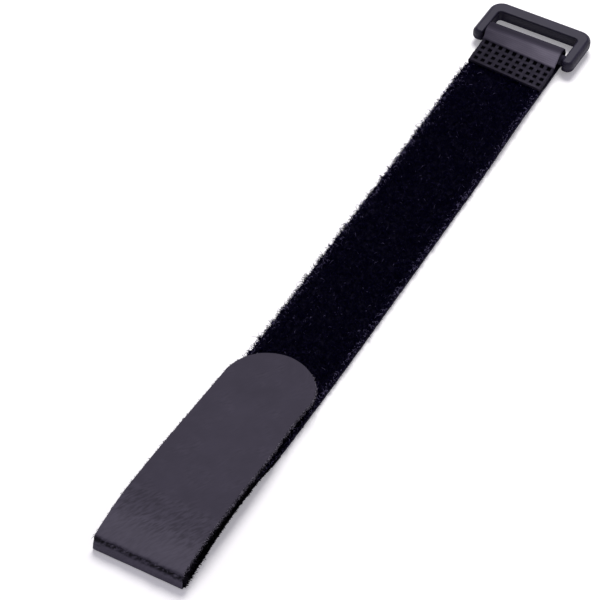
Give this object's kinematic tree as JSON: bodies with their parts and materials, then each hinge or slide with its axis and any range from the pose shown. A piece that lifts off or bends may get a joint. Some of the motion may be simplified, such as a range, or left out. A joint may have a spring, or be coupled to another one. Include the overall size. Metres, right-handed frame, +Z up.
{
  "type": "hook and loop cable tie with ring buckle",
  "caption": "Fabric cinch tie: a loop-pile strap welded round the bar of a moulded ring buckle, with a hook tab that is folded over and lies on the pile.",
  "frame": {"origin": "on the strap's flat underside, half way between the fold and the buckle, at table height", "axes": "+X along the strap towards the buckle, +Y to the strap's left, +Z up out of the table"},
  "size_m": [0.1887, 0.0269, 0.0058],
  "materials": {
    "loop_pile": "brushed black nylon loop pile on a woven ground",
    "hook_backing": "matt charcoal woven hook tape, smooth backing outward",
    "buckle_plastic": "moulded black plastic with a fine satin surface"
  },
  "bodies": {
    "strap": {"loop_strap": "loop_pile", "hook_tab": "hook_backing"},
    "ring": {"buckle": "buckle_plastic"}
  },
  "joints": [
    {"name": "buckle_swivel", "type": "hinge", "parent": "strap", "child": "ring", "pos_m": [0.0819, 0.0002, 0.00265], "axis": [-0.0209, -0.9998, 0], "range_deg": [-135, 150]}
  ]
}
